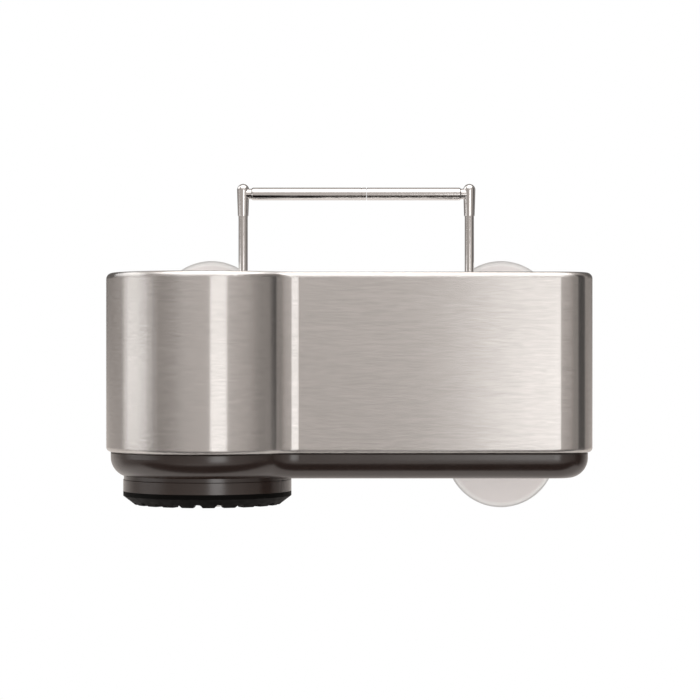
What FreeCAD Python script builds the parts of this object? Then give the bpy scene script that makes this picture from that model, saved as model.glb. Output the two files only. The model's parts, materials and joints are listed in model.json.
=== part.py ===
"""Sink caddy that holds a sponge and a dish brush: a brushed steel band on a moulded base, a lift-out
brush cup, and a hanger with two swinging bars, held to a sink wall by four suction cups.

Millimetres. +X is to the right seen from the front, +Y points into the sink wall and +Z is up.
The origin is on the wall plane, in the middle of the four suction cups.
"""

import FreeCAD
import Part
import Sketcher

import math
import os
import re

# Driving dimensions, piece by piece: one named value for each size that can be set by itself.
SIZES = {
    # Layout on the sink wall
    "wall_gap": 16.0,
    "suction_pitch_x": 150.0,
    "suction_pitch_z": 70.7,
    "post_offset": 16.9,
    # Clearances and overruns
    "fit_gap": 0.3,
    "press_gap": 0.02,
    "pivot_gap": 0.05,
    "overrun": 5.0,
    # Steel band
    "band_width": 237.8,
    "band_height": 87.4,
    "rim_height": 55.4,
    "cup_offset": 1.7,
    "cup_radius": 49.6,
    "cup_projection": 18.6,
    "corner_radius": 19.8,
    "blend_radius": 15.5,
    "sheet_thickness": 0.8,
    "rim_radius": 3.0,
    "hem_radius": 2.2,
    "turned_width": 4.5,
    # Base tray
    "base_height": 12.5,
    "base_inset": 2.2,
    "base_edge_radius": 9.8,
    "ledge_radius": 0.7,
    "base_wall": 2.2,
    "base_floor": 2.6,
    "spigot_height": 12.0,
    "cavity_edge_radius": 3.0,
    "well_wall": 2.4,
    "slot_width": 4.0,
    "slot_corner": 1.6,
    "slot_count": 13,
    "slot_row_gap": 14.0,
    "slot_end_gap": 6.3,
    "rib_width": 1.8,
    "rib_height": 2.0,
    "rib_overlap": 2.0,
    "hook_width": 12.0,
    "hook_height": 2.4,
    "hook_reach": 0.9,
    "hook_spacing": 62.0,
    # Brush cup
    "brush_margin": 8.3,
    "brush_wall": 1.8,
    "brush_floor": 2.4,
    "brush_drop": 6.8,
    "brush_rim_drop": 9.0,
    "brush_bead": 1.2,
    "brush_flange_width": 2.6,
    "brush_flange_height": 2.0,
    "waist_drop": 1.3,
    "waist_rise": 3.0,
    "waist_depth": 0.3,
    "drain_radius": 2.4,
    "drain_margin": 6.0,
    "drain_inner_count": 6,
    "drain_outer_count": 12,
    # Drain foot
    "foot_height": 6.6,
    "foot_side": 2.3,
    "foot_bevel": 5.6,
    "foot_land": 5.7,
    "foot_spigot_wall": 2.0,
    "foot_spigot_length": 3.6,
    "notch_count": 22,
    "notch_depth": 1.5,
    "notch_mouth": 4.6,
    "notch_root": 2.6,
    # Rear brackets
    "bracket_inner_margin": 18.0,
    "bracket_outer_margin": 17.0,
    "bracket_top_margin": 3.45,
    "bracket_bottom_margin": 10.6,
    "bracket_thickness": 6.0,
    "bracket_seat": 5.0,
    "bracket_skin": 2.5,
    "bracket_corner": 9.0,
    "bracket_edge": 1.4,
    "socket_radius": 4.5,
    "socket_drop": 1.4,
    "socket_floor": 6.0,
    "post_depth": 50.0,
    "rivet_offset": 12.0,
    "rivet_rim_drop": 7.4,
    "rivet_row": 12.0,
    # Suction cups
    "suction_radius": 28.4,
    "suction_lip_width": 3.6,
    "suction_lip": 1.1,
    "suction_edge": 0.8,
    "suction_flange": 1.8,
    "suction_hollow": 3.6,
    "suction_boss_radius": 8.8,
    "suction_boss_length": 2.2,
    "suction_neck_radius": 4.6,
    "suction_head_radius": 7.4,
    "suction_head_gap": 1.1,
    "suction_pocket_gap": 0.9,
    # Hanger posts
    "post_radius": 2.35,
    "post_reach": 31.1,
    "post_chamfer": 0.4,
    "pivot_radius": 1.6,
    "pivot_length": 11.0,
    "groove_radius": 1.0,
    "groove_height": 4.6,
    "pin_radius": 1.0,
    "pin_height": 10.0,
    # Swing arms
    "knuckle_length": 16.5,
    "knuckle_radius": 3.1,
    "knuckle_foot_radius": 2.7,
    "bar_radius": 3.25,
    "bar_drop": 5.15,
    "bar_end_radius": 1.2,
    "bar_bore_radius": 1.75,
    "neck_radius": 2.7,
    "neck_reach": 4.2,
    "neck_spigot": 8.0,
    "seam_offset": 5.2,
    "seam_gap": 0.3,
    "tip_length": 2.4,
    "tip_spigot": 9.0,
    "tip_edge": 0.25,
    "screw_radius": 1.0,
    "screw_socket_radius": 0.5,
    "screw_socket_depth": 0.7,
    # Rivets
    "rivet_radius": 1.6,
    "rivet_head_radius": 3.2,
    "rivet_head_height": 1.1,
    "rivet_head_edge": 0.4,
    "rivet_crown_radius": 1.6,
    "rivet_bulb_radius": 2.4,
    "rivet_bulb_height": 1.6,
    "rivet_bulb_edge": 0.8,
}

# Places worked out from the driving dimensions.
CUP_X = "(cup_offset - suction_pitch_x / 2)"
CUP_Y = "(-wall_gap - cup_radius)"
BACK_Y = "(-wall_gap)"
FRONT_Y = "(-wall_gap - 2 * cup_radius + cup_projection)"
RIGHT_X = f"({CUP_X} - cup_radius + band_width)"
BAND_FOOT_Z = "(rim_height - band_height)"
BASE_FOOT_Z = "(rim_height - band_height - base_height)"
CUP_FOOT_Z = "(rim_height - band_height - base_height - brush_drop)"
BASE_TOP_Z = "(rim_height - band_height + spigot_height)"
BLEND_REACH = "(cup_radius + blend_radius)"
BLEND_DEPTH = "(cup_radius - cup_projection + blend_radius)"
BLEND_X = f"sqrt({BLEND_REACH}^2 - {BLEND_DEPTH}^2)"
FRONT_TO_BACK_Y = f"(({FRONT_Y} + {BACK_Y}) / 2)"
SPIGOT_INSET = "(turned_width + fit_gap)"
CAVITY_INSET = "(turned_width + fit_gap + base_wall)"
BRUSH_RADIUS = "(cup_radius - brush_margin)"
WELL_RADIUS = "(cup_radius - brush_margin + fit_gap)"
FOOT_BORE = "(cup_radius - brush_margin - foot_bevel - foot_land)"
SLOT_START_X = f"({CUP_X} + {WELL_RADIUS} + well_wall + slot_row_gap)"
SLOT_END_X = f"({RIGHT_X} - {CAVITY_INSET} - slot_row_gap)"
SLOT_PITCH = f"(({SLOT_END_X} - {SLOT_START_X}) / (slot_count - 1))"
SUCTION_X = "(suction_pitch_x / 2)"
SUCTION_Z = "(suction_pitch_z / 2)"
BRACKET_FACE_Y = "(wall_gap - bracket_thickness)"
BRACKET_TOP_Z = "(rim_height - bracket_top_margin)"
BRACKET_FOOT_Z = f"(-{SUCTION_Z} - bracket_bottom_margin)"
POST_X = f"({SUCTION_X} - post_offset)"
POST_Y = "(wall_gap - socket_radius)"
POST_FOOT_Z = "(rim_height - socket_drop - post_depth)"
SHOULDER_Z = "(rim_height + post_reach)"
BAR_Z = "(rim_height + post_reach + knuckle_length - bar_drop)"
GROOVE_Z = "(rim_height + post_reach + groove_height)"
PIN_Z = f"({POST_FOOT_Z} + pin_height)"
SIDES = {"left": -1, "right": 1}
# How closely a face has to match the place and direction that it is looked for at.
TOLERANCE = 1e-4

doc = FreeCAD.newDocument("sink_caddy")
sheet = doc.addObject("Spreadsheet::Sheet", "Sizes")
subparts = []


def fill_sheet():
    """Puts each driving dimension in a cell of its own, under its name."""
    for row, (alias, number) in enumerate(SIZES.items(), start=1):
        sheet.set(f"A{row}", alias)
        sheet.set(f"B{row}", str(number))
        sheet.setAlias(f"B{row}", alias)
    doc.recompute()


def bind(formula):
    """The formula with each driving dimension written as a reference to its cell."""
    return re.sub(r"[a-z]\w*", lambda m: f"Sizes.{m[0]}" if m[0] in SIZES else m[0], formula)


def measure(formula):
    """The formula's present value."""
    return float(sheet.evalExpression(bind(formula)))


def new_body(label, place=("0", "0", "0"), turn=None):
    """An empty body whose own origin is bound to a place, turned about an axis if asked."""
    body = doc.addObject("PartDesign::Body", label)
    body.Label = label
    if turn:
        body.Placement = FreeCAD.Placement(FreeCAD.Vector(), FreeCAD.Rotation(*turn))
    for axis, formula in zip("xyz", place):
        body.setExpression(f"Placement.Base.{axis}", bind(formula))
    return body


def keep(piece, label):
    """Marks a finished piece as a sub-part under that name."""
    piece.Label = label
    subparts.append(piece)
    return piece


def new_sketch(body, role, lift="0"):
    """A sketch on one of the body's own origin planes, lifted along that plane's normal."""
    plane = next(f for f in body.Origin.OriginFeatures if f.Role == role)
    sketch = body.newObject("Sketcher::SketchObject", f"{body.Name}_sketch")
    sketch.AttachmentSupport = [(plane, "")]
    sketch.MapMode = "FlatFace"
    sketch.setExpression("AttachmentOffset.Base.z", bind(lift))
    return sketch


def constrain(sketch, kind, *where, formula):
    """Adds a dimension whose value is bound to the formula."""
    index = sketch.addConstraint(Sketcher.Constraint(kind, *where, measure(formula)))
    sketch.setExpression(f"Constraints[{index}]", bind(formula))


def arc_between(start, end, radius, turn, large):
    """The arc of that radius from start to end, as a counter-clockwise arc of a circle."""
    chord = end - start
    half = chord.Length / 2
    height = math.sqrt(max(radius**2 - half**2, 0))
    side = FreeCAD.Vector(-chord.y, chord.x, 0).normalize()
    centre = start + chord * 0.5 + side * height * (1 if (turn == "ccw") != large else -1)
    first, last = (start, end) if turn == "ccw" else (end, start)
    low = math.atan2(first.y - centre.y, first.x - centre.x)
    high = math.atan2(last.y - centre.y, last.x - centre.x)
    if high <= low:
        high += 2 * math.pi
    return Part.ArcOfCircle(Part.Circle(centre, FreeCAD.Vector(0, 0, 1), radius), low, high)


def draw_outline(sketch, corners):
    """Draws a closed outline. A corner is (x, y), and (x, y, (radius, turn)) starts an arc to the next
    corner: turn is ccw or cw, and a third word, large, takes the longer way round."""
    points = [FreeCAD.Vector(measure(c[0]), measure(c[1]), 0) for c in corners]
    ends = []
    for i, corner in enumerate(corners):
        start, end = points[i], points[(i + 1) % len(points)]
        if len(corner) == 2:
            index = sketch.addGeometry(Part.LineSegment(start, end))
            ends.append((index, 1, 2))
        else:
            radius, turn = corner[2][:2]
            arc = arc_between(start, end, measure(radius), turn, len(corner[2]) > 2)
            index = sketch.addGeometry(arc)
            ends.append((index, 1, 2) if turn == "ccw" else (index, 2, 1))
    for i, corner in enumerate(corners):
        index, first, last = ends[i]
        following, following_first, _ = ends[(i + 1) % len(ends)]
        sketch.addConstraint(Sketcher.Constraint("Coincident", index, last, following, following_first))
        constrain(sketch, "DistanceX", -1, 1, index, first, formula=corner[0])
        constrain(sketch, "DistanceY", -1, 1, index, first, formula=corner[1])
        if len(corner) > 2:
            constrain(sketch, "Radius", index, formula=corner[2][0])


def draw_circles(sketch, radius, centres):
    """Draws a circle of that radius at each centre."""
    for x, y in centres:
        centre = FreeCAD.Vector(measure(x), measure(y), 0)
        circle = Part.Circle(centre, FreeCAD.Vector(0, 0, 1), measure(radius))
        index = sketch.addGeometry(circle)
        constrain(sketch, "DistanceX", -1, 1, index, 3, formula=x)
        constrain(sketch, "DistanceY", -1, 1, index, 3, formula=y)
        constrain(sketch, "Radius", index, formula=radius)


def box_corners(low_x, low_y, high_x, high_y):
    """The corners of a rectangle."""
    return [(low_x, low_y), (high_x, low_y), (high_x, high_y), (low_x, high_y)]


def rounded_corners(low_x, low_y, high_x, high_y, radius):
    """The corners of a rectangle with rounded corners."""
    arc = (radius, "ccw")
    return [
        (f"{low_x} + {radius}", low_y),
        (f"{high_x} - {radius}", low_y, arc),
        (high_x, f"{low_y} + {radius}"),
        (high_x, f"{high_y} - {radius}", arc),
        (f"{high_x} - {radius}", high_y),
        (f"{low_x} + {radius}", high_y, arc),
        (low_x, f"{high_y} - {radius}"),
        (low_x, f"{low_y} + {radius}", arc),
    ]


def band_corners(inset):
    """The band's plan outline, moved in by the inset: a round cup blended into a box with its flat back
    in line with the back of the cup."""
    cup = f"(cup_radius - {inset})"
    corner = (f"corner_radius - {inset}", "ccw")
    front, back, right = f"({FRONT_Y} + {inset})", f"({BACK_Y} - {inset})", f"({RIGHT_X} - {inset})"
    return [
        (f"{CUP_X} + {BLEND_X}", front),
        (f"{RIGHT_X} - corner_radius", front, corner),
        (right, f"{FRONT_Y} + corner_radius"),
        (right, f"{BACK_Y} - corner_radius", corner),
        (f"{RIGHT_X} - corner_radius", back),
        (CUP_X, back, (cup, "ccw", "large")),
        (
            f"{CUP_X} + {cup} * {BLEND_X} / {BLEND_REACH}",
            f"{CUP_Y} - {cup} * {BLEND_DEPTH} / {BLEND_REACH}",
            (f"blend_radius + {inset}", "cw"),
        ),
    ]


def grow(body, kind, sketch, length=None, back=False, through=False):
    """A pad or pocket of the sketch. A pocket that takes nothing away stops the build."""
    before = body.Shape.Volume if body.Tip else 0
    feature = body.newObject(f"PartDesign::{kind}", f"{body.Name}_{kind}")
    feature.Profile = sketch
    feature.Reversed = back
    if through:
        feature.Type = "ThroughAll"
        feature.Midplane = True
    else:
        feature.setExpression("Length", bind(length))
    doc.recompute()
    if kind == "Pocket" and body.Shape.Volume >= before:
        raise RuntimeError(f"a pocket of {body.Label} cuts nothing")
    return feature


def pad(body, sketch, length, back=False):
    return grow(body, "Pad", sketch, length, back)


def pocket(body, sketch, length=None, back=False):
    return grow(body, "Pocket", sketch, length, back, through=length is None)


def revolve(body, corners):
    """A solid of revolution about the body's own Z axis, from a profile of (radius, height) corners."""
    sketch = new_sketch(body, "XZ_Plane")
    draw_outline(sketch, corners)
    feature = body.newObject("PartDesign::Revolution", f"{body.Name}_revolution")
    feature.Profile = sketch
    feature.ReferenceAxis = (sketch, ["V_Axis"])
    feature.Angle = 360
    doc.recompute()
    return feature


def flat_face(feature, axis, formula):
    """The name of the feature's largest flat face square to an axis at that place."""
    place = measure(formula)
    direction = FreeCAD.Vector(*(1 if letter == axis else 0 for letter in "xyz"))
    found = []
    for index, face in enumerate(feature.Shape.Faces, start=1):
        flat = isinstance(face.Surface, Part.Plane)
        square = flat and abs(abs(face.normalAt(0, 0) * direction) - 1) < TOLERANCE
        if square and abs(face.CenterOfMass * direction - place) < TOLERANCE:
            found.append((face.Area, f"Face{index}"))
    return max(found)[1]


def round_face(body, feature, axis, place, radius):
    """Rounds every edge of a flat face."""
    fillet = body.newObject("PartDesign::Fillet", f"{body.Name}_fillet")
    fillet.Base = (feature, [flat_face(feature, axis, place)])
    fillet.setExpression("Radius", bind(radius))
    doc.recompute()
    return fillet


def repeat_round(body, feature, sketch, count):
    """Repeats a feature round the body's own Z axis."""
    pattern = body.newObject("PartDesign::PolarPattern", f"{body.Name}_round")
    pattern.Originals = [feature]
    pattern.Axis = (sketch, ["N_Axis"])
    pattern.Angle = 360
    pattern.setExpression("Occurrences", bind(count))
    body.Tip = pattern
    doc.recompute()
    return pattern


def repeat_along(body, feature, sketch, pitch, count):
    """Repeats a feature along the sketch's horizontal axis."""
    pattern = body.newObject("PartDesign::LinearPattern", f"{body.Name}_row")
    pattern.Originals = [feature]
    pattern.Direction = (sketch, ["H_Axis"])
    pattern.setExpression("Length", bind(f"{pitch} * ({count} - 1)"))
    pattern.setExpression("Occurrences", bind(count))
    body.Tip = pattern
    doc.recompute()
    return pattern


def cut(label, base, tool):
    """The base with the tool taken away."""
    result = doc.addObject("Part::Cut", label)
    result.Base = base
    result.Tool = tool
    doc.recompute()
    return keep(result, label)


def group(label, pieces):
    """Separate solids that share one name."""
    result = doc.addObject("Part::Compound", label)
    result.Links = pieces
    doc.recompute()
    return keep(result, label)


def signed(side, formula):
    """The formula on the left or right side of the centre plane."""
    return f"({SIDES[side]} * {formula})"


def rivet_places(side):
    """Where one bracket's four rivets go, as (x, z): two on each side of the post."""
    inner, outer = signed(side, f"({POST_X} - rivet_offset)"), signed(side, f"({POST_X} + rivet_offset)")
    return [
        (inner, "rim_height - rivet_rim_drop"),
        (inner, "-rivet_row"),
        (outer, "rivet_row"),
        (outer, "-rivet_row"),
    ]


def make_band():
    """Steel band: one sheet wrapped all the way round, its top and bottom edges turned in."""
    outer = new_body("band_outside")
    sketch = new_sketch(outer, "XY_Plane", BAND_FOOT_Z)
    draw_outline(sketch, band_corners("0"))
    solid = pad(outer, sketch, "band_height")
    solid = round_face(outer, solid, "z", "rim_height", "rim_radius")
    round_face(outer, solid, "z", BAND_FOOT_Z, "hem_radius")

    inner = new_body("band_inside")
    sketch = new_sketch(inner, "XY_Plane", f"{BAND_FOOT_Z} + sheet_thickness")
    draw_outline(sketch, band_corners("sheet_thickness"))
    solid = pad(inner, sketch, "band_height - 2 * sheet_thickness")
    solid = round_face(inner, solid, "z", "rim_height - sheet_thickness", "rim_radius - sheet_thickness")
    round_face(inner, solid, "z", f"{BAND_FOOT_Z} + sheet_thickness", "hem_radius - sheet_thickness")
    mouth = new_sketch(inner, "XY_Plane", f"{BAND_FOOT_Z} - overrun")
    draw_outline(mouth, band_corners("turned_width"))
    pad(inner, mouth, "band_height + 2 * overrun")
    holes = new_sketch(inner, "XZ_Plane", "wall_gap - overrun")
    draw_circles(holes, "rivet_radius + press_gap", rivet_places("left") + rivet_places("right"))
    pad(inner, holes, "2 * overrun")
    cut("steel_band", outer, inner)


def make_base():
    """Base tray: a rounded tub under the band, with a spigot that plugs into it, a well that the brush
    cup drops through, drain slots between ribs, and hooks that snap over the band's bottom edge."""
    body = new_body("base_tray")
    sketch = new_sketch(body, "XY_Plane", BASE_FOOT_Z)
    draw_outline(sketch, band_corners("base_inset"))
    tub = pad(body, sketch, "base_height")
    tub = round_face(body, tub, "z", BASE_FOOT_Z, "base_edge_radius")
    round_face(body, tub, "z", BAND_FOOT_Z, "ledge_radius")
    sketch = new_sketch(body, "XY_Plane", BAND_FOOT_Z)
    draw_outline(sketch, band_corners(SPIGOT_INSET))
    pad(body, sketch, "spigot_height")
    sketch = new_sketch(body, "XY_Plane", f"{BASE_FOOT_Z} + base_floor")
    draw_outline(sketch, band_corners(CAVITY_INSET))
    hollow = pocket(body, sketch, "base_height - base_floor + spigot_height", back=True)
    round_face(body, hollow, "z", f"{BASE_FOOT_Z} + base_floor", "cavity_edge_radius")

    sketch = new_sketch(body, "XY_Plane", f"{BASE_FOOT_Z} + base_floor")
    draw_circles(sketch, f"{WELL_RADIUS} + well_wall", [(CUP_X, CUP_Y)])
    pad(body, sketch, "base_height - base_floor + spigot_height")
    sketch = new_sketch(body, "XY_Plane", BASE_TOP_Z)
    draw_circles(sketch, WELL_RADIUS, [(CUP_X, CUP_Y)])
    pocket(body, sketch, "base_height + spigot_height + overrun")

    add_grating(body)
    add_hooks(body)
    keep(body, "base_tray")


def add_grating(body):
    """A row of drain slots in the floor under the sponge, with a rib beside each slot."""
    reach = f"(({BACK_Y} - {FRONT_Y}) / 2 - {CAVITY_INSET} - slot_end_gap)"
    front, back = f"({FRONT_TO_BACK_Y} - {reach})", f"({FRONT_TO_BACK_Y} + {reach})"
    rib = f"({SLOT_START_X} - {SLOT_PITCH} / 2)"
    sketch = new_sketch(body, "XY_Plane", f"{BASE_FOOT_Z} + base_floor / 2")
    low_x, high_x = f"{rib} - rib_width / 2", f"{rib} + rib_width / 2"
    draw_outline(sketch, box_corners(low_x, f"{front} - rib_overlap", high_x, f"{back} + rib_overlap"))
    ridge = pad(body, sketch, "base_floor / 2 + rib_height")
    repeat_along(body, ridge, sketch, SLOT_PITCH, "(slot_count + 1)")
    low_x, high_x = f"({SLOT_START_X} - slot_width / 2)", f"({SLOT_START_X} + slot_width / 2)"
    sketch = new_sketch(body, "XY_Plane", f"{BASE_FOOT_Z} - overrun")
    draw_outline(sketch, rounded_corners(low_x, front, high_x, back, "slot_corner"))
    slot = pocket(body, sketch, "base_floor + overrun", back=True)
    repeat_along(body, slot, sketch, SLOT_PITCH, "slot_count")


def add_hooks(body):
    """Six snap hooks round the spigot, just above the band's turned-in bottom edge."""
    sketch = new_sketch(body, "XY_Plane", f"{BAND_FOOT_Z} + sheet_thickness + press_gap")
    front, back = f"({FRONT_Y} + {SPIGOT_INSET})", f"({BACK_Y} - {SPIGOT_INSET})"
    right, left = f"({RIGHT_X} - {SPIGOT_INSET})", f"({CUP_X} - cup_radius + {SPIGOT_INSET})"
    centre = f"({RIGHT_X} + {CUP_X} + cup_radius) / 2"
    root = "base_wall / 2"
    for step in (-1, 1):
        x = f"({centre} + {step} * hook_spacing / 2)"
        low_x, high_x = f"{x} - hook_width / 2", f"{x} + hook_width / 2"
        draw_outline(sketch, box_corners(low_x, f"{front} - hook_reach", high_x, f"{front} + {root}"))
        draw_outline(sketch, box_corners(low_x, f"{back} - {root}", high_x, f"{back} + hook_reach"))
    low_y, high_y = f"{FRONT_TO_BACK_Y} - hook_width / 2", f"{FRONT_TO_BACK_Y} + hook_width / 2"
    draw_outline(sketch, box_corners(f"{right} - {root}", low_y, f"{right} + hook_reach", high_y))
    low_y, high_y = f"{CUP_Y} - hook_width / 2", f"{CUP_Y} + hook_width / 2"
    draw_outline(sketch, box_corners(f"{left} - hook_reach", low_y, f"{left} + {root}", high_y))
    pad(body, sketch, "hook_height")


def make_brush_cup():
    """Brush cup: a tumbler that drops in from above until its flange sits on the base's well. It has a
    shallow waist where it comes out under the base."""
    top = "(band_height + base_height + brush_drop - brush_rim_drop)"
    seat = "(base_height + brush_drop + spigot_height)"
    outside, inside = BRUSH_RADIUS, f"({BRUSH_RADIUS} - brush_wall)"
    waist = f"({BRUSH_RADIUS} - waist_depth)"
    spigot = f"({FOOT_BORE} - foot_spigot_wall)"
    outer_ring = f"({spigot} - drain_margin)"
    body = new_body("brush_cup", (CUP_X, CUP_Y, CUP_FOOT_Z))
    revolve(body, [
        ("0", "0"),
        (spigot, "0"),
        (spigot, "-foot_spigot_length"),
        (FOOT_BORE, "-foot_spigot_length"),
        (FOOT_BORE, "0"),
        (outside, "0"),
        (outside, "brush_drop - waist_drop"),
        (waist, "brush_drop - waist_drop + waist_depth"),
        (waist, "brush_drop + waist_rise - waist_depth"),
        (outside, "brush_drop + waist_rise"),
        (outside, seat),
        (f"{outside} + brush_flange_width", seat),
        (f"{outside} + brush_flange_width", f"{seat} + brush_flange_height"),
        (outside, f"{seat} + brush_flange_height"),
        (outside, f"{top} - 2 * brush_bead", ("brush_bead", "ccw")),
        (f"{outside} + brush_bead", f"{top} - brush_bead", ("brush_bead", "ccw")),
        (outside, top),
        (inside, top),
        (inside, "2 * brush_floor", ("brush_floor", "cw")),
        (f"{inside} - brush_floor", "brush_floor"),
        ("0", "brush_floor"),
    ])
    sketch = new_sketch(body, "XY_Plane", "brush_floor")
    draw_circles(sketch, "drain_radius", [("0", "0")])
    pocket(body, sketch, "brush_floor + overrun")
    for ring, count in ((f"{outer_ring} / 2", "drain_inner_count"), (outer_ring, "drain_outer_count")):
        sketch = new_sketch(body, "XY_Plane", "brush_floor")
        draw_circles(sketch, "drain_radius", [(ring, "0")])
        hole = pocket(body, sketch, "brush_floor + overrun")
        repeat_round(body, hole, sketch, count)
    keep(body, "brush_cup")


def make_foot():
    """Drain foot: a bevelled ring under the brush cup, notched all round so that water runs out."""
    quarter_pitch = measure("90 / notch_count")
    place = (CUP_X, CUP_Y, f"{CUP_FOOT_Z} - foot_height")
    body = new_body("drain_foot", place, (FreeCAD.Vector(0, 0, 1), -quarter_pitch))
    bore = f"({FOOT_BORE} + press_gap)"
    revolve(body, [
        (bore, "0"),
        (f"{BRUSH_RADIUS} - foot_bevel", "0"),
        (BRUSH_RADIUS, "foot_height - foot_side"),
        (BRUSH_RADIUS, "foot_height"),
        (bore, "foot_height"),
    ])
    sketch = new_sketch(body, "XZ_Plane")
    draw_outline(sketch, [
        ("-notch_mouth / 2", "-notch_depth"),
        ("notch_mouth / 2", "-notch_depth"),
        ("notch_mouth / 2", "0"),
        ("notch_root / 2", "notch_depth"),
        ("-notch_root / 2", "notch_depth"),
        ("-notch_mouth / 2", "0"),
    ])
    notch = pocket(body, sketch, f"{BRUSH_RADIUS} + overrun", back=True)
    around = new_sketch(body, "XY_Plane")
    repeat_round(body, notch, around, "notch_count")
    keep(body, "drain_foot")


def make_bracket(side, envelope):
    """Rear bracket: a plate riveted to the back of the band, its seat shaped to the band. It has a socket
    for the hanger's post and two pockets that the suction cups' heads snap into."""
    near, far = f"({POST_X} - bracket_inner_margin)", f"({SUCTION_X} + bracket_outer_margin)"
    low, high = (f"(-{far})", f"(-{near})") if side == "left" else (near, far)
    post_x, suction_x = signed(side, POST_X), signed(side, SUCTION_X)
    body = new_body(f"{side}_bracket_blank")
    sketch = new_sketch(body, "XZ_Plane", BRACKET_FACE_Y)
    draw_outline(sketch, rounded_corners(low, BRACKET_FOOT_Z, high, BRACKET_TOP_Z, "bracket_corner"))
    plate = pad(body, sketch, "bracket_thickness + bracket_seat")
    round_face(body, plate, "y", f"-{BRACKET_FACE_Y}", "bracket_edge")
    sketch = new_sketch(body, "XY_Plane", f"{POST_FOOT_Z} - socket_floor")
    draw_circles(sketch, "socket_radius", [(post_x, f"-{POST_Y}")])
    pad(body, sketch, "socket_floor + post_depth")

    sketch = new_sketch(body, "XY_Plane", f"{POST_FOOT_Z} + post_depth + overrun")
    draw_circles(sketch, "post_radius + pivot_gap", [(post_x, f"-{POST_Y}")])
    pocket(body, sketch, "post_depth + overrun")
    places = [(suction_x, SUCTION_Z), (suction_x, f"-{SUCTION_Z}")]
    sketch = new_sketch(body, "XZ_Plane", BRACKET_FACE_Y)
    draw_circles(sketch, "suction_neck_radius + fit_gap", places)
    pocket(body, sketch, "bracket_thickness + bracket_seat", back=True)
    sketch = new_sketch(body, "XZ_Plane", f"{BRACKET_FACE_Y} + bracket_skin")
    draw_circles(sketch, "suction_head_radius + suction_pocket_gap", places)
    pocket(body, sketch, "bracket_thickness + bracket_seat", back=True)
    sketch = new_sketch(body, "XZ_Plane", f"{BRACKET_FACE_Y} - overrun")
    draw_circles(sketch, "rivet_radius + press_gap", rivet_places(side))
    draw_circles(sketch, "pin_radius + press_gap", [(post_x, PIN_Z)])
    pocket(body, sketch, "bracket_thickness + bracket_seat + 2 * overrun", back=True)
    sketch = new_sketch(body, "XZ_Plane", "wall_gap")
    draw_circles(sketch, "rivet_bulb_radius + fit_gap", rivet_places(side))
    pocket(body, sketch, "bracket_seat + overrun", back=True)
    cut(f"{side}_bracket", body, envelope)


def make_envelope():
    """The band's outside, tall enough to shape the seats of both brackets."""
    body = new_body("band_envelope")
    sketch = new_sketch(body, "XY_Plane", f"{BRACKET_FOOT_Z} - overrun")
    draw_outline(sketch, band_corners("0"))
    pad(body, sketch, f"{BRACKET_TOP_Z} - {BRACKET_FOOT_Z} + 2 * overrun")
    return body


def make_suction_cup(side, level):
    """Suction cup: a soft saucer with a flat round-edged lip, a boss that rests on the bracket, and a neck
    and head that snap into the bracket's pocket. Its own Z axis points away from the wall."""
    label = f"suction_cup_{level}_{side}"
    place = (signed(side, SUCTION_X), "0", SUCTION_Z if level == "upper" else f"-{SUCTION_Z}")
    body = new_body(label, place, (FreeCAD.Vector(1, 0, 0), 90))
    seat = BRACKET_FACE_Y
    shoulder = f"({seat} - suction_boss_length)"
    throat = f"({seat} + bracket_skin + press_gap)"
    top = f"({seat} + bracket_thickness - suction_head_gap)"
    lip = "(suction_radius - suction_lip_width)"
    hollow_arc = f"(({lip}^2 + suction_hollow^2) / (2 * suction_hollow))"
    rim = "(suction_radius - suction_flange)"
    back_centre = (f"(({rim}^2 + suction_lip^2 - suction_boss_radius^2 - {shoulder}^2)"
                   f" / (2 * (suction_lip - {shoulder})))")
    back_arc = f"sqrt({rim}^2 + (suction_lip - {back_centre})^2)"
    revolve(body, [
        ("0", "suction_hollow", (hollow_arc, "cw")),
        (lip, "0"),
        ("suction_radius", "0"),
        ("suction_radius", "suction_lip - suction_edge", ("suction_edge", "ccw")),
        ("suction_radius - suction_edge", "suction_lip"),
        (rim, "suction_lip", (back_arc, "ccw")),
        ("suction_boss_radius", shoulder),
        ("suction_boss_radius", seat),
        ("suction_neck_radius", seat),
        ("suction_neck_radius", throat),
        ("suction_head_radius", throat),
        ("suction_head_radius", f"({throat} + {top}) / 2"),
        ("suction_neck_radius", top),
        ("0", top),
    ])
    keep(body, label)


def make_post(side):
    """Hanger post: a rod in the bracket's socket, stepped down to the pivot that its arm turns on, with
    a groove that keeps the arm on."""
    label = f"{side}_post"
    body = new_body(label, (signed(side, POST_X), f"-{POST_Y}", "0"))
    groove_low = f"({GROOVE_Z} - screw_radius - pivot_gap)"
    groove_high = f"({GROOVE_Z} + screw_radius + pivot_gap)"
    revolve(body, [
        ("0", POST_FOOT_Z),
        ("post_radius - post_chamfer", POST_FOOT_Z),
        ("post_radius", f"{POST_FOOT_Z} + post_chamfer"),
        ("post_radius", SHOULDER_Z),
        ("pivot_radius", SHOULDER_Z),
        ("pivot_radius", groove_low),
        ("groove_radius", groove_low),
        ("groove_radius", groove_high),
        ("pivot_radius", groove_high),
        ("pivot_radius", f"{SHOULDER_Z} + pivot_length - post_chamfer"),
        ("pivot_radius - post_chamfer", f"{SHOULDER_Z} + pivot_length"),
        ("0", f"{SHOULDER_Z} + pivot_length"),
    ])
    sketch = new_sketch(body, "XZ_Plane")
    draw_circles(sketch, "pin_radius + press_gap", [("0", PIN_Z)])
    pocket(body, sketch)
    keep(body, label)


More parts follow.
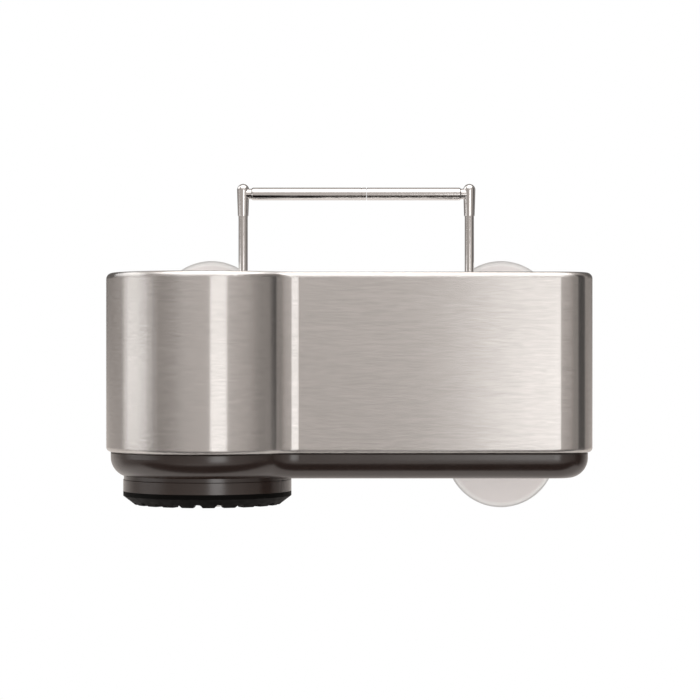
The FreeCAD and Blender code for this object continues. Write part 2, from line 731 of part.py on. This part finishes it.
def make_post_pins():
    """Cross pins that lock the posts in their sockets."""
    pins = []
    for side in SIDES:
        pin = doc.addObject("Part::Cylinder", f"{side}_post_pin")
        pin.setExpression("Radius", bind("pin_radius"))
        pin.setExpression("Height", bind("2 * socket_radius - press_gap"))
        pin.Placement.Rotation = FreeCAD.Rotation(FreeCAD.Vector(1, 0, 0), 90)
        pin.setExpression("Placement.Base.x", bind(signed(side, POST_X)))
        pin.setExpression("Placement.Base.y", bind("2 * socket_radius - wall_gap"))
        pin.setExpression("Placement.Base.z", bind(PIN_Z))
        pins.append(pin)
    group("post_pins", pins)


def make_knuckle(side):
    """Knuckle: a round-topped cap that turns on the post's pivot, with a neck that carries the bar."""
    label = f"{side}_knuckle"
    inward = -SIDES[side]
    body = new_body(label, (signed(side, POST_X), f"-{POST_Y}", SHOULDER_Z))
    revolve(body, [
        ("0", "pivot_gap"),
        ("knuckle_foot_radius", "pivot_gap"),
        ("knuckle_radius", "knuckle_length - knuckle_radius", ("knuckle_radius", "ccw")),
        ("0", "knuckle_length"),
    ])
    bar_height = "(knuckle_length - bar_drop)"
    for radius, reach in (("neck_radius", "neck_reach"), ("bar_bore_radius", "neck_reach + neck_spigot")):
        sketch = new_sketch(body, "YZ_Plane")
        draw_circles(sketch, radius, [("0", bar_height)])
        pad(body, sketch, reach, back=inward < 0)
    sketch = new_sketch(body, "XY_Plane", "0")
    draw_circles(sketch, "pivot_radius + pivot_gap", [("0", "0")])
    pocket(body, sketch, "pivot_length + pivot_gap", back=True)
    sketch = new_sketch(body, "XZ_Plane")
    draw_circles(sketch, "screw_radius + press_gap", [("0", "groove_height")])
    pocket(body, sketch, "knuckle_radius + overrun")
    keep(body, label)


def make_pivot_screw(side):
    """Grub screw in the back of the knuckle, its end running in the post's groove."""
    label = f"{side}_pivot_screw"
    body = new_body(label, (signed(side, POST_X), f"-{POST_Y}", GROOVE_Z))
    start, end = "(groove_radius + pivot_gap)", "knuckle_foot_radius"
    sketch = new_sketch(body, "XZ_Plane", f"-{start}")
    draw_circles(sketch, "screw_radius", [("0", "0")])
    pad(body, sketch, f"{end} - {start}", back=True)
    sketch = new_sketch(body, "XZ_Plane", f"-{end}")
    hexagon = [math.radians(60 * step) for step in range(6)]
    draw_outline(sketch, [
        (f"screw_socket_radius * {math.cos(angle):.9f}", f"screw_socket_radius * {math.sin(angle):.9f}")
        for angle in hexagon
    ])
    pocket(body, sketch, "screw_socket_depth", back=True)
    keep(body, label)


def bar_ends(side):
    """How far the bar's two ends lie from its post."""
    if side == "left":
        return "neck_reach", f"({POST_X} + seam_offset - tip_length)"
    return "neck_reach", f"({POST_X} - seam_offset - seam_gap)"


def make_bar(side):
    """Cross bar: a tube on the knuckle's neck, rounded at that end. The left one is open for its tip, and
    the right one is closed."""
    label = f"{side}_bar"
    start, end = bar_ends(side)
    inward = -SIDES[side]
    place = (signed(side, POST_X), f"-{POST_Y}", BAR_Z)
    body = new_body(label, place, (FreeCAD.Vector(0, 1, 0), 90 * inward))
    revolve(body, [
        ("0", start),
        ("bar_radius - bar_end_radius", start, ("bar_end_radius", "ccw")),
        ("bar_radius", f"{start} + bar_end_radius"),
        ("bar_radius", f"{end} - tip_edge"),
        ("bar_radius - tip_edge", end),
        ("0", end),
    ])
    bore = f"{end} - {start} + overrun" if side == "left" else "neck_spigot + pivot_gap"
    sketch = new_sketch(body, "XY_Plane", start)
    draw_circles(sketch, "bar_bore_radius + press_gap", [("0", "0")])
    pocket(body, sketch, bore, back=True)
    keep(body, label)


def make_bar_tip():
    """Bumper tip in the open end of the left bar, where the two bars meet."""
    place = (signed("left", POST_X), f"-{POST_Y}", BAR_Z)
    body = new_body("left_bar_tip", place, (FreeCAD.Vector(0, 1, 0), 90))
    end = bar_ends("left")[1]
    revolve(body, [
        ("0", f"{end} - tip_spigot"),
        ("bar_bore_radius", f"{end} - tip_spigot"),
        ("bar_bore_radius", end),
        ("bar_radius - tip_edge", end),
        ("bar_radius", f"{end} + tip_edge"),
        ("bar_radius", f"{end} + tip_length - tip_edge"),
        ("bar_radius - tip_edge", f"{end} + tip_length"),
        ("0", f"{end} + tip_length"),
    ])
    keep(body, "left_bar_tip")


def make_rivets():
    """Blind rivets that hold the brackets to the band: a low head outside and a bulb inside."""
    rivets = []
    grip = "(bracket_thickness + sheet_thickness)"
    for side in SIDES:
        for x, z in rivet_places(side):
            body = new_body(f"{side}_rivet", (x, f"-{BRACKET_FACE_Y}", z), (FreeCAD.Vector(1, 0, 0), 90))
            revolve(body, [
                ("0", "-rivet_head_height"),
                ("rivet_crown_radius", "-rivet_head_height"),
                ("rivet_head_radius", "-rivet_head_edge"),
                ("rivet_head_radius", "0"),
                ("rivet_radius", "0"),
                ("rivet_radius", grip),
                ("rivet_bulb_radius", grip),
                ("rivet_bulb_radius", f"{grip} + rivet_bulb_edge"),
                ("rivet_radius", f"{grip} + rivet_bulb_height"),
                ("0", f"{grip} + rivet_bulb_height"),
            ])
            rivets.append(body)
    group("bracket_rivets", rivets)


def check_and_write():
    """Stops if anything failed, then writes each sub-part under its name."""
    doc.recompute()
    failed = [o.Label for o in doc.Objects if {"Invalid", "Error"} & set(o.State)]
    failed += [p.Label for p in subparts if p.Shape.isNull() or not p.Shape.isValid()]
    if failed:
        raise RuntimeError(f"these failed: {failed}")
    os.makedirs("parts", exist_ok=True)
    for piece in subparts:
        piece.Shape.exportStep(f"parts/{piece.Label}.step")
        print(f"{piece.Label}: {len(piece.Shape.Solids)} solids, {piece.Shape.Volume:.1f} mm3")


def main():
    fill_sheet()
    make_band()
    make_base()
    make_brush_cup()
    make_foot()
    envelope = make_envelope()
    for side in SIDES:
        make_bracket(side, envelope)
        make_post(side)
        make_knuckle(side)
        make_pivot_screw(side)
        make_bar(side)
        for level in ("upper", "lower"):
            make_suction_cup(side, level)
    make_bar_tip()
    make_post_pins()
    make_rivets()
    check_and_write()


main()
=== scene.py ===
"""Looks of the sink caddy: a finish for every piece, a plain pale floor, soft studio light and the camera.

Metres, in the caddy's own frame: +X to the right seen from the front, +Y into the sink wall, +Z up.
"""

import json
import math

import bmesh
import bpy
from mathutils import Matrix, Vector


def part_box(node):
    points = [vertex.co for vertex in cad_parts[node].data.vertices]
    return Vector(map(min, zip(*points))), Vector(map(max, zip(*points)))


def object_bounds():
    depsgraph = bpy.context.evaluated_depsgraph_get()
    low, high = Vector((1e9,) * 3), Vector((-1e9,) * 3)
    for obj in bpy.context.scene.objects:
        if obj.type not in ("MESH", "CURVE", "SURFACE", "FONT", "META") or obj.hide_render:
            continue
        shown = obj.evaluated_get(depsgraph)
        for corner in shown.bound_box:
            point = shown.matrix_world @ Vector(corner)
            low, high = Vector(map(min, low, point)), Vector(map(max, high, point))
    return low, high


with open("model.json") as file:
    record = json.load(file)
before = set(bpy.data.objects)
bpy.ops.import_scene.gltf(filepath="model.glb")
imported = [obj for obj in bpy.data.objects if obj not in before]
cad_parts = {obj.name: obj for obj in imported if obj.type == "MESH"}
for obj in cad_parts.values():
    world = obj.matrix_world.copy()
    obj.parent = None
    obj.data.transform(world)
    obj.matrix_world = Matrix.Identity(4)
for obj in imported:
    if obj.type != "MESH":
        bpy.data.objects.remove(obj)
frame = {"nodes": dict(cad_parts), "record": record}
CAD_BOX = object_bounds()

MM = 0.001

# Noise: the range that holds most of its values
NOISE_LOW = 0.3
NOISE_HIGH = 0.7

# Sockets of a Mix node that blends colours
MIX_FACTOR = 0
MIX_FIRST = 6
MIX_SECOND = 7
MIX_RESULT = 2

# Steel band: short and long level grain, slow clouds, and a painted highlight along the rim, down to a
# depth
STEEL_DARK = (0.573, 0.554, 0.539, 1)
STEEL_LIGHT = (0.677, 0.656, 0.641, 1)
# Painted highlight: the rim's top is coloured near-white to stand in for the overhead light's glint on the
# rolled edge
STEEL_RIM_HIGHLIGHT = (0.95, 0.93, 0.91, 1)
SHORT_GRAIN = 0.50 * MM
SHORT_GRAIN_STRETCH = (11, 11, 1)
SHORT_GRAIN_SHARE = 0.7
LONG_GRAIN = 0.70 * MM
LONG_GRAIN_STRETCH = (30, 30, 1)
LONG_GRAIN_SHARE = 0.3
GRAIN_DEPTH = 0.0005 * MM
STEEL_CLOUD = 40 * MM
STEEL_CLOUD_SHARE = 0.06
STEEL_TONE_LOW = 0.25
STEEL_TONE_HIGH = 0.75
STEEL_ROUGHNESS = (0.262, 0.252)
QUARTER_TURN = 0.25
RIM_HIGHLIGHT_DEPTH = 1.8 * MM

# Base, brush cup and brackets
PLASTIC_DARK = (0.0165, 0.0080, 0.0055, 1)
PLASTIC_LIGHT = (0.022, 0.0118, 0.0086, 1)
PLASTIC_CLOUD = 12 * MM
PLASTIC_SKIN = 0.5 * MM
PLASTIC_SKIN_DEPTH = 0.006 * MM
PLASTIC_ROUGHNESS = (0.20, 0.26)
PLASTIC_IOR = 1.72

# Drain foot
RUBBER_DARK = (0.0016, 0.0014, 0.0012, 1)
RUBBER_LIGHT = (0.0035, 0.0032, 0.003, 1)
RUBBER_BLOOM = 3 * MM
RUBBER_SKIN = 0.35 * MM
RUBBER_SKIN_DEPTH = 0.04 * MM
RUBBER_ROUGHNESS = (0.5, 0.7)
RUBBER_SPECULAR = 0.06

# Suction cups: the body, a painted lighter ring inside the edge for light through the thin flange, and
# painted shade on the edge itself
VINYL_DARK = (0.775, 0.73, 0.71, 1)
VINYL_LIGHT = (0.825, 0.78, 0.765, 1)
# Painted light: a lighter ring where light shines through the thin flange. Painted shade: a darker edge
# line
VINYL_LIT_RING = (0.92, 0.895, 0.875, 1)
VINYL_SHADED_EDGE = (0.48, 0.47, 0.46, 1)
VINYL_CLOUD = 9 * MM
VINYL_ROUGHNESS = (0.34, 0.42)
VINYL_IOR = 1.46
VINYL_TRANSMISSION = 0.75
VINYL_SHEEN = 0.35
VINYL_SHEEN_ROUGHNESS = 0.4
LIT_RING_WIDTH = 3.2 * MM
SHADED_EDGE_WIDTH = 1.3 * MM

# Camera, from the photograph's perspective: level, and straight at the wall
CAMERA_PLACE = (-3.2 * MM, -1285.6 * MM, 17.7 * MM)
SENSOR_WIDTH = 36.0
PICTURE_SIDE = 700
FOCAL_PIXELS = 2480

# Floor, under the part and out of the photograph's view
FLOOR_DROP = 300 * MM
FLOOR_RADIUS = 1.2
FLOOR_SIDES = 96
FLOOR_FADE_START = 0.55
FLOOR_COLOUR = (0.84, 0.812, 0.79, 1)
FLOOR_ROUGHNESS = 0.9
FLOOR_GLOW = 0.26

# Studio light: the room's brightness by direction. The camera sees the plain background instead
BACKGROUND_COLOUR = (1.0, 1.0, 1.0, 1)
ROOM_COLOUR = (1.0, 0.92, 0.865, 1)
ROOM_FRONT = 0.55
ROOM_LEFT = 0.41
ROOM_SIDE = 0.37
ROOM_LOW = 0.78
ROOM_BACK = 0.12
ROOM_CEILING = 0.60

# Where the room changes: turns from the front, and heights of the direction's unit vector
LEFT_TURN = math.radians(-50)
SIDE_TURNS = (math.radians(46), math.radians(68))
BACK_TURNS = (math.radians(110), math.radians(135))
HORIZON_HEIGHTS = (-0.03, -0.005)
CEILING_HEIGHTS = (0.60, 0.85)

# The strips of light at the left: their level and their height
STRIP_LEVEL = 17.5 * MM
STRIP_HEIGHT = 135 * MM


def node(tree, kind, settings=None, **inputs):
    """A shader node. Each input takes a plain value, or the socket that it is linked from."""
    made = tree.nodes.new(f"ShaderNode{kind}")
    for name, value in (settings or {}).items():
        setattr(made, name, value)
    for name, value in inputs.items():
        feed(tree, made.inputs[name.replace("_", " ")], value)
    return made


def feed(tree, socket, value):
    """Links a socket, or sets its plain value."""
    if isinstance(value, bpy.types.NodeSocket):
        tree.links.new(value, socket)
    else:
        socket.default_value = value


def calculate(tree, operation, first, second=0.0):
    """A Math node's result."""
    made = node(tree, "Math", {"operation": operation})
    feed(tree, made.inputs[0], first)
    feed(tree, made.inputs[1], second)
    return made.outputs["Value"]


def spread(tree, value, low, high, start=0.0, end=1.0, shape="LINEAR"):
    """The value moved from the range start to end into the range low to high."""
    ranges = {"From_Min": start, "From_Max": end, "To_Min": low, "To_Max": high}
    made = node(tree, "MapRange", {"interpolation_type": shape}, Value=value, **ranges)
    return made.outputs["Result"]


def soft_step(tree, value, start, end, low=0.0, high=1.0):
    """Low before the start, high after the end, and a smooth change between them."""
    return spread(tree, value, low, high, start, end, "SMOOTHSTEP")


def vary(tree, marks, low, high):
    """A value that goes from low to high as the noise goes through its usual range."""
    return spread(tree, marks, low, high, NOISE_LOW, NOISE_HIGH)


def blend_colours(tree, factor, first, second):
    """The first colour turning into the second as the factor grows."""
    made = node(tree, "Mix", {"data_type": "RGBA"})
    feed(tree, made.inputs[MIX_FACTOR], factor)
    feed(tree, made.inputs[MIX_FIRST], first)
    feed(tree, made.inputs[MIX_SECOND], second)
    return made.outputs[MIX_RESULT]


def length(tree, vector):
    """How long a vector is."""
    made = node(tree, "VectorMath", {"operation": "LENGTH"})
    feed(tree, made.inputs[0], vector)
    return made.outputs["Value"]


def object_place(tree):
    """The place of a point in its object's own frame. For the part's pieces that is the caddy's frame."""
    return node(tree, "TexCoord").outputs["Object"]


def noise(tree, size, detail=3.0, stretch=(1, 1, 1)):
    """Noise whose marks are about that size, in metres, stretched along the axes."""
    scale = [1 / (size * share) for share in stretch]
    moved = node(tree, "Mapping", Vector=object_place(tree), Scale=scale)
    made = node(tree, "TexNoise", Vector=moved.outputs["Vector"], Scale=1.0, Detail=detail)
    return made.outputs["Fac"]


def relief(tree, height, depth, strength):
    """A normal that shows the height as relief of that depth, in metres."""
    made = node(tree, "Bump", Height=height, Distance=depth, Strength=strength)
    return made.outputs["Normal"]


def new_material(name):
    """A new material, its node tree and its principled shader."""
    material = bpy.data.materials.new(name)
    material.use_nodes = True
    tree = material.node_tree
    return material, tree, tree.nodes["Principled BSDF"]


def steel_colour(tree, cloud, short, long):
    """Steel that grows lighter and darker with its grain and clouds, with a painted highlight at the rim.
    """
    short_part = calculate(tree, "MULTIPLY", short, SHORT_GRAIN_SHARE)
    long_part = calculate(tree, "MULTIPLY", long, LONG_GRAIN_SHARE)
    grain = calculate(tree, "ADD", short_part, long_part)
    tone = calculate(tree, "ADD", grain, vary(tree, cloud, -STEEL_CLOUD_SHARE, STEEL_CLOUD_SHARE))
    streaks = spread(tree, tone, 0.0, 1.0, STEEL_TONE_LOW, STEEL_TONE_HIGH)
    brushed = blend_colours(tree, streaks, STEEL_DARK, STEEL_LIGHT)
    height = node(tree, "SeparateXYZ", Vector=object_place(tree)).outputs["Z"]
    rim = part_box("steel_band")[1].z
    # Painted highlight: the top of the rim turns near-white, standing in for the glint of the overhead
    # light
    rim_highlight = soft_step(tree, height, rim - RIM_HIGHLIGHT_DEPTH, rim - RIM_HIGHLIGHT_DEPTH / 3)
    return blend_colours(tree, rim_highlight, brushed, STEEL_RIM_HIGHLIGHT)


def brushed_band():
    """Steel sheet with a fine level grain and a painted rim highlight. Its highlights stretch across the
    grain.
    """
    material, tree, shader = new_material("brushed_band_finish")
    short = noise(tree, SHORT_GRAIN, detail=1.0, stretch=SHORT_GRAIN_STRETCH)
    long = noise(tree, LONG_GRAIN, detail=2.0, stretch=LONG_GRAIN_STRETCH)
    cloud = noise(tree, STEEL_CLOUD, detail=2.0)
    feed(tree, shader.inputs["Base Color"], steel_colour(tree, cloud, short, long))
    shader.inputs["Metallic"].default_value = 1.0
    feed(tree, shader.inputs["Roughness"], vary(tree, cloud, *STEEL_ROUGHNESS))
    shader.inputs["Anisotropic"].default_value = 1.0
    shader.inputs["Anisotropic Rotation"].default_value = QUARTER_TURN
    tangent = node(tree, "Tangent", {"direction_type": "RADIAL", "axis": "Z"})
    feed(tree, shader.inputs["Tangent"], tangent.outputs["Tangent"])
    feed(tree, shader.inputs["Normal"], relief(tree, long, GRAIN_DEPTH, strength=0.2))
    return material


def dark_plastic():
    """Warm dark grey moulding with a smooth semi-gloss skin."""
    material, tree, shader = new_material("dark_plastic_finish")
    cloud = noise(tree, PLASTIC_CLOUD)
    skin = noise(tree, PLASTIC_SKIN, detail=2.0)
    feed(tree, shader.inputs["Base Color"], blend_colours(tree, cloud, PLASTIC_DARK, PLASTIC_LIGHT))
    feed(tree, shader.inputs["Roughness"], vary(tree, cloud, *PLASTIC_ROUGHNESS))
    shader.inputs["IOR"].default_value = PLASTIC_IOR
    feed(tree, shader.inputs["Normal"], relief(tree, skin, PLASTIC_SKIN_DEPTH, strength=0.2))
    return material


def black_rubber():
    """Matte black rubber with a faint dusty bloom."""
    material, tree, shader = new_material("black_rubber_finish")
    bloom = noise(tree, RUBBER_BLOOM, detail=4.0)
    skin = noise(tree, RUBBER_SKIN, detail=2.0)
    feed(tree, shader.inputs["Base Color"], blend_colours(tree, bloom, RUBBER_DARK, RUBBER_LIGHT))
    feed(tree, shader.inputs["Roughness"], vary(tree, bloom, *RUBBER_ROUGHNESS))
    shader.inputs["Specular IOR Level"].default_value = RUBBER_SPECULAR
    feed(tree, shader.inputs["Normal"], relief(tree, skin, RUBBER_SKIN_DEPTH, strength=0.3))
    return material


def distance_from_cup_axis(tree, low, high):
    """How far a point lies from the axis of its own suction cup. The cups lie alike about the origin, and
    low and high are the corners of one."""
    place = node(tree, "SeparateXYZ", Vector=object_place(tree))
    side = calculate(tree, "ABSOLUTE", place.outputs["X"])
    rise = calculate(tree, "ABSOLUTE", place.outputs["Z"])
    across = calculate(tree, "SUBTRACT", side, (low.x + high.x) / 2)
    up = calculate(tree, "SUBTRACT", rise, (low.z + high.z) / 2)
    return length(tree, node(tree, "CombineXYZ", X=across, Y=up).outputs["Vector"])


def milky_vinyl():
    """Soft milky vinyl that lets light through, with painted light in a ring and painted shade at the edge.
    """
    material, tree, shader = new_material("milky_vinyl_finish")
    low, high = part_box("suction_cup_upper_right")
    radius = (high.x - low.x) / 2
    cloud = noise(tree, VINYL_CLOUD)
    reach = distance_from_cup_axis(tree, low, high)
    # Painted light in a ring inside the edge, and painted shade along the edge itself
    lit_ring = soft_step(tree, reach, radius - LIT_RING_WIDTH, radius - LIT_RING_WIDTH / 2)
    shaded_edge = soft_step(tree, reach, radius - SHADED_EDGE_WIDTH, radius)
    body = blend_colours(tree, cloud, VINYL_DARK, VINYL_LIGHT)
    with_lit_ring = blend_colours(tree, lit_ring, body, VINYL_LIT_RING)
    feed(tree, shader.inputs["Base Color"], blend_colours(tree, shaded_edge, with_lit_ring, VINYL_SHADED_EDGE))
    feed(tree, shader.inputs["Roughness"], vary(tree, cloud, *VINYL_ROUGHNESS))
    shader.inputs["IOR"].default_value = VINYL_IOR
    shader.inputs["Transmission Weight"].default_value = VINYL_TRANSMISSION
    shader.inputs["Sheen Weight"].default_value = VINYL_SHEEN
    shader.inputs["Sheen Roughness"].default_value = VINYL_SHEEN_ROUGHNESS
    return material


def marked_metal(name, dark, light, mark_size, roughness):
    """Metal whose colour and roughness vary with faint marks."""
    material, tree, shader = new_material(name)
    marks = noise(tree, mark_size)
    feed(tree, shader.inputs["Base Color"], blend_colours(tree, marks, dark, light))
    shader.inputs["Metallic"].default_value = 1.0
    feed(tree, shader.inputs["Roughness"], vary(tree, marks, *roughness))
    return material


def bright_chrome():
    """Polished plating with faint polishing marks."""
    dark = (0.75, 0.735, 0.725, 1)
    light = (0.78, 0.765, 0.755, 1)
    return marked_metal("bright_chrome_finish", dark, light, mark_size=2.0 * MM, roughness=(0.10, 0.13))


def rivet_metal():
    """Satin aluminium, a little dulled."""
    dark = (0.60, 0.60, 0.60, 1)
    light = (0.76, 0.76, 0.755, 1)
    return marked_metal("rivet_metal_finish", dark, light, mark_size=0.8 * MM, roughness=(0.3, 0.45))


def fastener_steel():
    """Plain steel of pins and grub screws."""
    dark = (0.42, 0.42, 0.42, 1)
    light = (0.56, 0.56, 0.56, 1)
    return marked_metal("fastener_steel_finish", dark, light, mark_size=0.5 * MM, roughness=(0.25, 0.4))


FINISHES = {
    "brushed_band": brushed_band,
    "dark_plastic": dark_plastic,
    "black_rubber": black_rubber,
    "milky_vinyl": milky_vinyl,
    "bright_chrome": bright_chrome,
    "rivet_metal": rivet_metal,
    "fastener_steel": fastener_steel,
}


def dress_nodes():
    """Gives each carried-over node the finish of its material slot."""
    made = {slot: finish() for slot, finish in FINISHES.items()}
    for row in frame["record"]["subparts"]:
        piece = frame["nodes"][row["node"]]
        piece.material_slots[0].material = made[row["material_slot"]]


def floor_finish():
    """A pale, softly glowing floor that fades out towards its edge."""
    material, tree, shader = new_material("floor_finish")
    shader.inputs["Base Color"].default_value = FLOOR_COLOUR
    shader.inputs["Roughness"].default_value = FLOOR_ROUGHNESS
    shader.inputs["Emission Color"].default_value = FLOOR_COLOUR
    shader.inputs["Emission Strength"].default_value = FLOOR_GLOW
    reach = length(tree, object_place(tree))
    feed(tree, shader.inputs["Alpha"], spread(tree, reach, 1.0, 0.0, FLOOR_FADE_START, FLOOR_RADIUS))
    return material


def lay_floor():
    """A round floor under the part."""
    mesh = bpy.data.meshes.new("floor")
    build = bmesh.new()
    bmesh.ops.create_circle(build, cap_ends=True, segments=FLOOR_SIDES, radius=FLOOR_RADIUS)
    build.to_mesh(mesh)
    build.free()
    mesh.materials.append(floor_finish())
    floor = bpy.data.objects.new("floor", mesh)
    floor.location = (0, 0, CAD_BOX[0].z - FLOOR_DROP)
    bpy.context.scene.collection.objects.link(floor)


def room_strength(tree):
    """Brightness by direction: dimmer at the sides, and dark behind the part above the horizon."""
    direction = node(tree, "SeparateXYZ", Vector=node(tree, "TexCoord").outputs["Generated"])
    height = direction.outputs["Z"]
    towards_camera = calculate(tree, "MULTIPLY", direction.outputs["Y"], -1.0)
    azimuth = calculate(tree, "ARCTAN2", direction.outputs["X"], towards_camera)
    from_front = calculate(tree, "ABSOLUTE", azimuth)
    left = soft_step(tree, azimuth, LEFT_TURN, 0.0, ROOM_LEFT, ROOM_FRONT)
    room = soft_step(tree, azimuth, *SIDE_TURNS, left, ROOM_SIDE)
    behind = soft_step(tree, height, *HORIZON_HEIGHTS, ROOM_LOW, ROOM_BACK)
    around = soft_step(tree, from_front, *BACK_TURNS, room, behind)
    return soft_step(tree, height, *CEILING_HEIGHTS, around, ROOM_CEILING)


def light_world():
    """A warm room that lights the part. The camera, and rays through the vinyl, see plain white instead."""
    world = bpy.data.worlds.new("studio")
    bpy.context.scene.world = world
    world.use_nodes = True
    tree = world.node_tree
    room = node(tree, "Background", Color=ROOM_COLOUR, Strength=room_strength(tree))
    plain = node(tree, "Background", Color=BACKGROUND_COLOUR, Strength=1.0)
    path = node(tree, "LightPath")
    seen = calculate(tree, "MAXIMUM", path.outputs["Is Camera Ray"], path.outputs["Is Transmission Ray"])
    mixed = node(tree, "MixShader")
    feed(tree, mixed.inputs[0], seen)
    feed(tree, mixed.inputs[1], room.outputs["Background"])
    feed(tree, mixed.inputs[2], plain.outputs["Background"])
    tree.links.new(mixed.outputs["Shader"], tree.nodes["World Output"].inputs["Surface"])


def aim(thing, place, target):
    """Puts a thing at a place and turns its -Z side to the target."""
    thing.location = place
    thing.rotation_mode = "QUATERNION"
    thing.rotation_quaternion = (Vector(target) - Vector(place)).to_track_quat("-Z", "Y")


def hang_softbox(name, place, target, width, height, radiance):
    """A white area light that faces the target, with the radiance that its face shows."""
    lamp = bpy.data.lights.new(name, "AREA")
    lamp.shape = "RECTANGLE"
    lamp.size = width
    lamp.size_y = height
    lamp.energy = radiance * math.pi * width * height
    softbox = bpy.data.objects.new(name, lamp)
    softbox.visible_camera = False
    aim(softbox, place, target)
    bpy.context.scene.collection.objects.link(softbox)


def hang_strip(name, side, depth, width, radiance):
    """A strip of light at the left that faces straight across."""
    place = (side, depth, STRIP_LEVEL)
    target = (0, depth, STRIP_LEVEL)
    hang_softbox(name, place, target, width, STRIP_HEIGHT, radiance)


def hang_card(name, place, target, width, height, shade):
    """A plain dark card for reflections. The camera, diffuse light and shadows pass it by."""
    mesh = bpy.data.meshes.new(name)
    build = bmesh.new()
    bmesh.ops.create_grid(build, x_segments=1, y_segments=1, size=0.5)
    bmesh.ops.scale(build, vec=(width, height, 1), verts=build.verts)
    build.to_mesh(mesh)
    build.free()
    material, _, shader = new_material(f"{name}_finish")
    shader.inputs["Base Color"].default_value = (shade, shade, shade, 1)
    shader.inputs["Roughness"].default_value = 1.0
    mesh.materials.append(material)
    card = bpy.data.objects.new(name, mesh)
    card.visible_camera = False
    card.visible_diffuse = False
    card.visible_shadow = False
    aim(card, place, target)
    bpy.context.scene.collection.objects.link(card)


def light_studio():
    """Softboxes behind the camera, at the left, above at the left and overhead, and two dark cards."""
    hang_softbox("key_softbox", place=(0.598, -2.4, -0.25), target=(0.598, 0, -0.25),
                 width=0.832, height=0.80, radiance=2.1)

    # Each strip is longer than the one before, so that the light fades towards its ends
    hang_strip("left_softbox", side=-0.82, depth=-0.18, width=0.40, radiance=0.68)
    hang_strip("left_glow", side=-0.825, depth=-0.20, width=0.60, radiance=0.75)
    hang_strip("left_fade", side=-0.83, depth=-0.23, width=0.78, radiance=0.45)

    hang_softbox("rim_softbox", place=(-0.90, 0.25, 0.62), target=(-0.07, -0.065, 0.055),
                 width=1.0, height=0.50, radiance=1.2)
    hang_softbox("top_softbox", place=(0, -0.70, 1.0), target=(0, -0.70, 0.0),
                 width=1.6, height=1.5, radiance=1.8)

    # At the right, and low in front
    hang_card("right_card", place=(0.75, -0.075, 0.0), target=(0, -0.075, 0.0),
              width=0.32, height=1.2, shade=0.08)
    hang_card("low_card", place=(0, -0.264, -0.20), target=(0, -0.264, 0.5),
              width=1.4, height=0.246, shade=0.05)


def place_camera():
    """The photograph's camera."""
    data = bpy.data.cameras.new("camera")
    data.sensor_width = SENSOR_WIDTH
    data.lens = SENSOR_WIDTH * FOCAL_PIXELS / PICTURE_SIDE
    camera = bpy.data.objects.new("camera", data)
    camera.location = CAMERA_PLACE
    camera.rotation_euler = (math.radians(90), 0, 0)
    bpy.context.scene.collection.objects.link(camera)
    bpy.context.scene.camera = camera


dress_nodes()
lay_floor()
light_world()
light_studio()
place_camera()
bpy.context.scene.view_settings.view_transform = "Standard"
